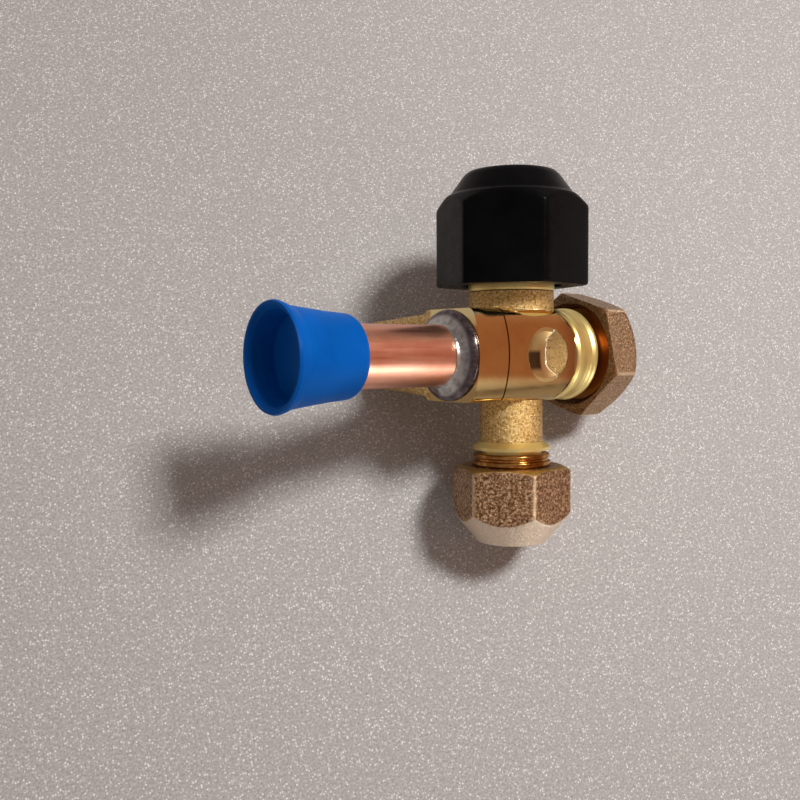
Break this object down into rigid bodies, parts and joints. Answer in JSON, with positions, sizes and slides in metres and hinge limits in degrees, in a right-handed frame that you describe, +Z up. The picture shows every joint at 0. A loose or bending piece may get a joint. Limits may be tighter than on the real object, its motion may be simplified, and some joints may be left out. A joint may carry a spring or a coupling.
{
  "type": "refrigerant service valve",
  "caption": "Straight refrigerant valve body with brazed copper stub, flare port and nut, screwed stem under a hex cap, and a small service port with nut.",
  "frame": {"origin": "middle of the valve's footprint on the table it rests on", "axes": "+Z up from the table; the tube stub points towards -X and up, the stem cap towards +Y and up"},
  "size_m": [0.0672, 0.0606, 0.0445],
  "materials": {
    "forged_brass": "turned and as forged",
    "bronze_brass": "coarse blasted",
    "copper": "satin copper",
    "braze_silver": "dull silver braze",
    "black_plastic": "satin moulded",
    "blue_plastic": "smooth moulded",
    "steel": "machined",
    "white_seal": "smooth",
    "black_rubber": "matt"
  },
  "bodies": {
    "valve": {"valve_body": "forged_brass", "copper_tube": "copper", "braze_ring": "braze_silver", "stem_packing": "white_seal", "packing_washer": "steel", "gland_nut": "forged_brass", "core_body": "forged_brass", "core_seal": "black_rubber", "core_spring": "steel"},
    "dust_cap": {"dust_cap": "blue_plastic"},
    "seat": {"seat_seal": "white_seal"},
    "stem": {"stem": "steel"},
    "cap_seat": {"stem_cap_gasket": "black_rubber"},
    "stem_cap": {"stem_cap": "black_plastic"},
    "service_seat": {"service_bonnet": "copper"},
    "service_nut": {"service_nut": "bronze_brass"},
    "flare_seat": {"flare_bonnet": "copper"},
    "flare_nut": {"flare_nut": "bronze_brass"},
    "core_pin": {"core_pin": "steel"}
  },
  "joints": [
    {"name": "stem_turn", "type": "hinge", "parent": "seat", "child": "stem", "pos_m": [0.01159, 0.00963, 0.02076], "axis": [0.1617, 0.9323, 0.3236], "range_deg": [-1621, 0]},
    {"name": "stem_travel", "type": "slide", "parent": "valve", "child": "seat", "axis": [0.1617, 0.9323, 0.3236], "range_m": [-0.0045, 0]},
    {"name": "stem_cap_turn", "type": "hinge", "parent": "cap_seat", "child": "stem_cap", "pos_m": [0.01256, 0.01523, 0.02271], "axis": [0.1617, 0.9323, 0.3236], "range_deg": [0, 1801]},
    {"name": "stem_cap_travel", "type": "slide", "parent": "valve", "child": "cap_seat", "axis": [0.1617, 0.9323, 0.3236], "range_m": [0, 0.0075]},
    {"name": "service_nut_turn", "type": "hinge", "parent": "service_seat", "child": "service_nut", "pos_m": [0.00641, -0.0202, 0.01041], "axis": [-0.1617, -0.9323, -0.3236], "range_deg": [0, 2161]},
    {"name": "service_nut_travel", "type": "slide", "parent": "valve", "child": "service_seat", "axis": [-0.1617, -0.9323, -0.3236], "range_m": [0, 0.00762]},
    {"name": "flare_nut_turn", "type": "hinge", "parent": "flare_seat", "child": "flare_nut", "pos_m": [0.02518, 0.00031, 0.00993], "axis": [0.8945, 0, -0.447], "range_deg": [0, 1081]},
    {"name": "flare_nut_travel", "type": "slide", "parent": "valve", "child": "flare_seat", "axis": [0.8945, 0, -0.447], "range_m": [0, 0.00423]},
    {"name": "core_pin_press", "type": "slide", "parent": "valve", "child": "core_pin", "axis": [0.1617, 0.9323, 0.3236], "range_m": [0, 0.0009], "stiffness_N_per_m": 400, "springref_m": -0.0005, "deforming": ["core_spring"]},
    {"name": "dust_cap_pull", "type": "slide", "parent": "valve", "child": "dust_cap", "axis": [-0.8945, 0, 0.447], "range_m": [0, 0.009]}
  ],
  "couplings": [
    {"joint": "stem_turn", "follows": "stem_travel", "rad_per_m": 6283.2},
    {"joint": "stem_cap_turn", "follows": "stem_cap_travel", "rad_per_m": 4188.8},
    {"joint": "service_nut_turn", "follows": "service_nut_travel", "rad_per_m": 4947.4},
    {"joint": "flare_nut_turn", "follows": "flare_nut_travel", "rad_per_m": 4453}
  ]
}
